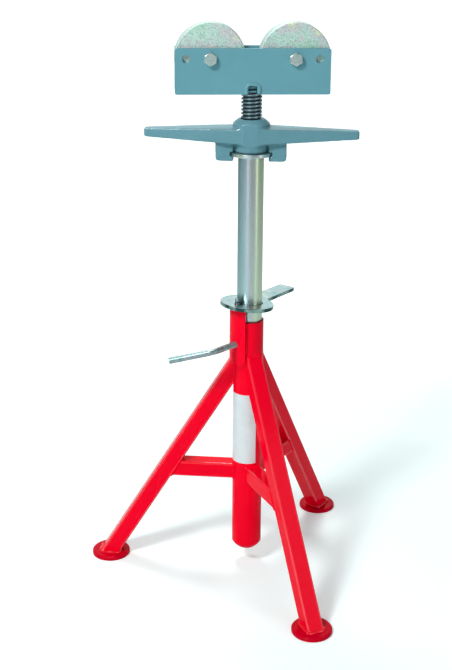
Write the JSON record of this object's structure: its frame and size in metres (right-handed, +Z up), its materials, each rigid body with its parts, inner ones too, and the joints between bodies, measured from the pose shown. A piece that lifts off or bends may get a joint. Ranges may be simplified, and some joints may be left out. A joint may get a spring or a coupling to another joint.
{
  "type": "pipe roller support",
  "caption": "Low tripod stand with a sliding post, friction lock, screw lift and a roller head that carries a pipe on two steel rollers.",
  "frame": {"origin": "on the floor, under the axis of the tripod's upright tube", "axes": "+Z up along the upright tube, +X along the head's plates, +Y to the back, across the pipe rollers"},
  "size_m": [0.3402, 0.36, 0.7094],
  "materials": {
    "red_paint": "glossy red enamel",
    "grey_blue_paint": "satin grey-blue paint on plate and casting",
    "zinc_plate": "bright zinc plating",
    "dark_steel": "dark oiled steel"
  },
  "bodies": {
    "base": {"base_tube": "red_paint", "tube_end_cap": "red_paint", "clamp_sleeve": "red_paint", "leg_left": "red_paint", "leg_front": "red_paint", "leg_back": "red_paint", "brace_left": "red_paint", "brace_front": "red_paint", "brace_back": "red_paint", "foot_left": "red_paint", "foot_front": "red_paint", "foot_back": "red_paint", "plate_pin": "dark_steel"},
    "lock_plate": {"lock_plate": "zinc_plate"},
    "clamp_screw": {"clamp_screw": "zinc_plate"},
    "post": {"post_tube": "zinc_plate", "post_flange": "zinc_plate"},
    "nut": {"handle_nut": "grey_blue_paint"},
    "head": {"lift_screw": "dark_steel", "head_plate_front": "grey_blue_paint", "head_plate_back": "grey_blue_paint", "axle_bolt_left": "zinc_plate", "axle_bolt_right": "zinc_plate", "axle_nut_left": "zinc_plate", "axle_nut_right": "zinc_plate", "axle_sleeve_left": "zinc_plate", "axle_sleeve_right": "zinc_plate"},
    "roller_left": {"roller_left": "zinc_plate"},
    "roller_right": {"roller_right": "zinc_plate"}
  },
  "joints": [
    {"name": "post_slide", "type": "slide", "parent": "base", "child": "post", "axis": [0, 0, 1], "range_m": [-0.065, 0.15]},
    {"name": "lock_plate_tilt", "type": "hinge", "parent": "base", "child": "lock_plate", "pos_m": [-0.01127, -0.00625, 0.35505], "axis": [0.4848, -0.8746, 0], "range_deg": [0, 5.5]},
    {"name": "clamp_turn", "type": "hinge", "parent": "base", "child": "clamp_screw", "pos_m": [-0.01789, -0.01611, 0.308], "axis": [-0.7431, -0.6691, 0], "range_deg": [0, 360]},
    {"name": "nut_turn", "type": "hinge", "parent": "post", "child": "nut", "pos_m": [0.00089, 0.0008, 0.572], "axis": [0, 0, -1], "range_deg": [-2240, 7600]},
    {"name": "head_lift", "type": "slide", "parent": "post", "child": "head", "axis": [0, 0, 1], "range_m": [-0.0281, 0.0951]},
    {"name": "roller_left_spin", "type": "hinge", "parent": "head", "child": "roller_left", "pos_m": [-0.04991, 0.0008, 0.66655], "axis": [0, 1, 0], "continuous": true},
    {"name": "roller_right_spin", "type": "hinge", "parent": "head", "child": "roller_right", "pos_m": [0.05169, 0.0008, 0.66655], "axis": [0, 1, 0], "continuous": true}
  ],
  "couplings": [
    {"joint": "head_lift", "follows": "nut_turn", "m_per_rad": 0.0007162}
  ]
}
